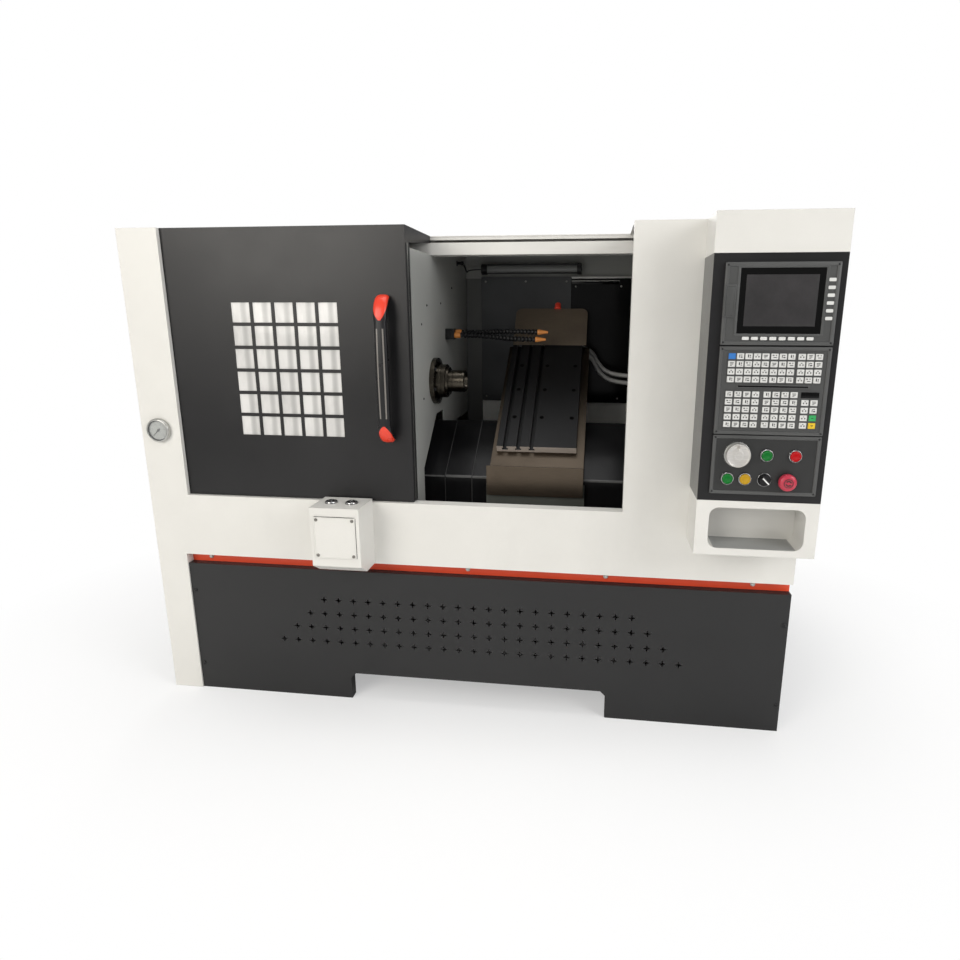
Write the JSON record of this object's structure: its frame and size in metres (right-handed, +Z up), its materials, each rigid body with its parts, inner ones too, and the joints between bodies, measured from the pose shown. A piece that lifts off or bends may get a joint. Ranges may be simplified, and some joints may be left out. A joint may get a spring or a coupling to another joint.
{
  "type": "slant bed lathe",
  "caption": "Enclosed slant bed turning machine: sliding guard door, slanted gang-tool slide with T-slots, spindle nose, nested way covers and a control cabinet on the right.",
  "frame": {"origin": "on the floor, at the middle of the machine's box seen from above", "axes": "+X to the right along the spindle, +Y to the back, +Z up; the operator stands at -Y"},
  "size_m": [2.08, 1.538, 1.554],
  "materials": {
    "cream_paint": "satin, fine orange peel",
    "charcoal_paint": "matt, fine wrinkle texture",
    "grey_paint": "satin",
    "red_paint": "satin",
    "black_enamel": "gloss",
    "cast": "machined and painted",
    "steel": "ground",
    "stainless": "brushed sheet",
    "black_oxide": "blackened, oiled",
    "zinc": "zinc plated",
    "panel_plastic": "fine grain",
    "black_plastic": "moulded",
    "glass_black": "polished",
    "pane": "clear, tinted",
    "orange_plastic": "moulded",
    "green_plastic": "moulded",
    "red_plastic": "moulded",
    "yellow_plastic": "moulded",
    "grey_plastic": "ribbed",
    "rubber": "matt",
    "lamp_tube": "frosted"
  },
  "bodies": {
    "machine": {"base_frame": "grey_paint", "base_front_panel": "grey_paint", "base_stripe": "red_paint", "front_guard": "cream_paint", "enclosure_panels": "cream_paint", "inner_panels": "cream_paint", "rear_shields": "black_enamel", "way_covers_fixed": "black_enamel", "bed_casting": "cast", "z_guides": "steel", "drive_motors": "black_enamel", "headstock": "cast", "drive_belt": "rubber", "control_cabinet": "cream_paint", "control_housing": "charcoal_paint", "screen_bezel": "panel_plastic", "screen_glass": "glass_black", "keypad": "panel_plastic", "operator_plate": "panel_plastic", "button_box": "cream_paint", "gauge_case": "zinc", "work_lamp": "lamp_tube", "lamp_lead": "rubber", "coolant_line": "black_plastic", "coolant_fittings": "orange_plastic", "conduits": "grey_plastic"},
    "door": {"sliding_door": "charcoal_paint", "window_pane": "pane", "door_handle": "black_plastic", "handle_caps": "orange_plastic"},
    "spindle": {"spindle": "black_oxide"},
    "motor_pulley": {"motor_pulley": "steel"},
    "z_screw": {"z_screw": "steel"},
    "saddle": {"saddle": "cast", "z_carriages": "steel", "x_guides": "steel", "x_motor": "black_enamel", "way_covers_saddle": "black_enamel"},
    "x_screw": {"x_screw": "steel"},
    "cross_slide": {"cross_slide": "steel", "x_carriages": "steel", "gang_plate": "black_oxide", "slide_apron": "stainless", "slide_hood": "stainless"},
    "cover_left_outer": {"way_cover_left_outer": "black_enamel"},
    "cover_left_inner": {"way_cover_left_inner": "black_enamel"},
    "cover_right": {"way_cover_right": "black_enamel"},
    "handwheel": {"handwheel": "zinc"},
    "start_button": {"start_button": "green_plastic"},
    "stop_button": {"stop_button": "red_plastic"},
    "clamp_button": {"clamp_button": "green_plastic"},
    "coolant_button": {"coolant_button": "yellow_plastic"},
    "mode_selector": {"mode_selector": "black_plastic"},
    "emergency_stop": {"emergency_stop": "red_plastic"},
    "card_door": {"card_door": "panel_plastic"},
    "left_box_button": {"left_box_button": "black_plastic"},
    "right_box_button": {"right_box_button": "black_plastic"},
    "gauge_needle": {"gauge_needle": "black_plastic"}
  },
  "joints": [
    {"name": "door_slide", "type": "slide", "parent": "machine", "child": "door", "axis": [1, 0, 0], "range_m": [0, 0.655]},
    {"name": "spindle_spin", "type": "hinge", "parent": "machine", "child": "spindle", "pos_m": [-0.4, -0.271, 1.075], "axis": [1, 0, 0], "continuous": true},
    {"name": "motor_spin", "type": "hinge", "parent": "machine", "child": "motor_pulley", "pos_m": [-0.71, 0.179, 0.602], "axis": [1, 0, 0], "continuous": true},
    {"name": "z_slide", "type": "slide", "parent": "machine", "child": "saddle", "axis": [1, 0, 0], "range_m": [-0.13, 0.17], "deforming": ["conduits"]},
    {"name": "x_slide", "type": "slide", "parent": "saddle", "child": "cross_slide", "axis": [0, 0.7986, 0.6018], "range_m": [-0.115, 0.01]},
    {"name": "z_screw_turn", "type": "hinge", "parent": "machine", "child": "z_screw", "pos_m": [0.225, -0.25584, 0.78274], "axis": [1, 0, 0], "continuous": true},
    {"name": "x_screw_turn", "type": "hinge", "parent": "saddle", "child": "x_screw", "pos_m": [0.2355, -0.14289, 0.9818], "axis": [0, 0.7986, 0.6018], "continuous": true},
    {"name": "cover_left_outer_slide", "type": "slide", "parent": "machine", "child": "cover_left_outer", "axis": [1, 0, 0], "range_m": [-0.088, 0.115]},
    {"name": "cover_left_inner_slide", "type": "slide", "parent": "machine", "child": "cover_left_inner", "axis": [1, 0, 0], "range_m": [-0.045, 0.058]},
    {"name": "cover_right_slide", "type": "slide", "parent": "machine", "child": "cover_right", "axis": [1, 0, 0], "range_m": [-0.066, 0.086]},
    {"name": "handwheel_turn", "type": "hinge", "parent": "machine", "child": "handwheel", "pos_m": [0.81093, -0.746, 0.93703], "axis": [0, 1, 0], "continuous": true},
    {"name": "start_button_push", "type": "slide", "parent": "machine", "child": "start_button", "axis": [0, 1, 0], "range_m": [0, 0.003], "stiffness_N_per_m": 600, "springref_m": -0.002},
    {"name": "stop_button_push", "type": "slide", "parent": "machine", "child": "stop_button", "axis": [0, 1, 0], "range_m": [0, 0.003], "stiffness_N_per_m": 600, "springref_m": -0.002},
    {"name": "clamp_button_push", "type": "slide", "parent": "machine", "child": "clamp_button", "axis": [0, 1, 0], "range_m": [0, 0.003], "stiffness_N_per_m": 600, "springref_m": -0.002},
    {"name": "coolant_button_push", "type": "slide", "parent": "machine", "child": "coolant_button", "axis": [0, 1, 0], "range_m": [0, 0.003], "stiffness_N_per_m": 600, "springref_m": -0.002},
    {"name": "mode_selector_turn", "type": "hinge", "parent": "machine", "child": "mode_selector", "pos_m": [0.88655, -0.741, 0.86996], "axis": [0, 1, 0], "range_deg": [-45, 45]},
    {"name": "emergency_stop_push", "type": "slide", "parent": "machine", "child": "emergency_stop", "axis": [0, 1, 0], "range_m": [0, 0.006]},
    {"name": "card_door_turn", "type": "hinge", "parent": "machine", "child": "card_door", "pos_m": [0.7485, -0.7395, 1.3355], "axis": [0, 0, -1], "range_deg": [0, 110]},
    {"name": "left_box_button_push", "type": "slide", "parent": "machine", "child": "left_box_button", "axis": [0, 0, -1], "range_m": [0, 0.004], "stiffness_N_per_m": 500, "springref_m": -0.002},
    {"name": "right_box_button_push", "type": "slide", "parent": "machine", "child": "right_box_button", "axis": [0, 0, -1], "range_m": [0, 0.004], "stiffness_N_per_m": 500, "springref_m": -0.002},
    {"name": "gauge_needle_turn", "type": "hinge", "parent": "machine", "child": "gauge_needle", "pos_m": [-0.976, -0.59, 0.9326], "axis": [0, 1, 0], "range_deg": [0, 270], "stiffness_Nm_per_rad": 0.002}
  ],
  "couplings": [
    {"joint": "motor_spin", "follows": "spindle_spin", "ratio": 1.3226},
    {"joint": "z_screw_turn", "follows": "z_slide", "rad_per_m": 628.32},
    {"joint": "x_screw_turn", "follows": "x_slide", "rad_per_m": 628.32},
    {"joint": "cover_left_outer_slide", "follows": "z_slide", "ratio": 0.66667},
    {"joint": "cover_left_inner_slide", "follows": "z_slide", "ratio": 0.33333},
    {"joint": "cover_right_slide", "follows": "z_slide", "ratio": 0.5}
  ]
}
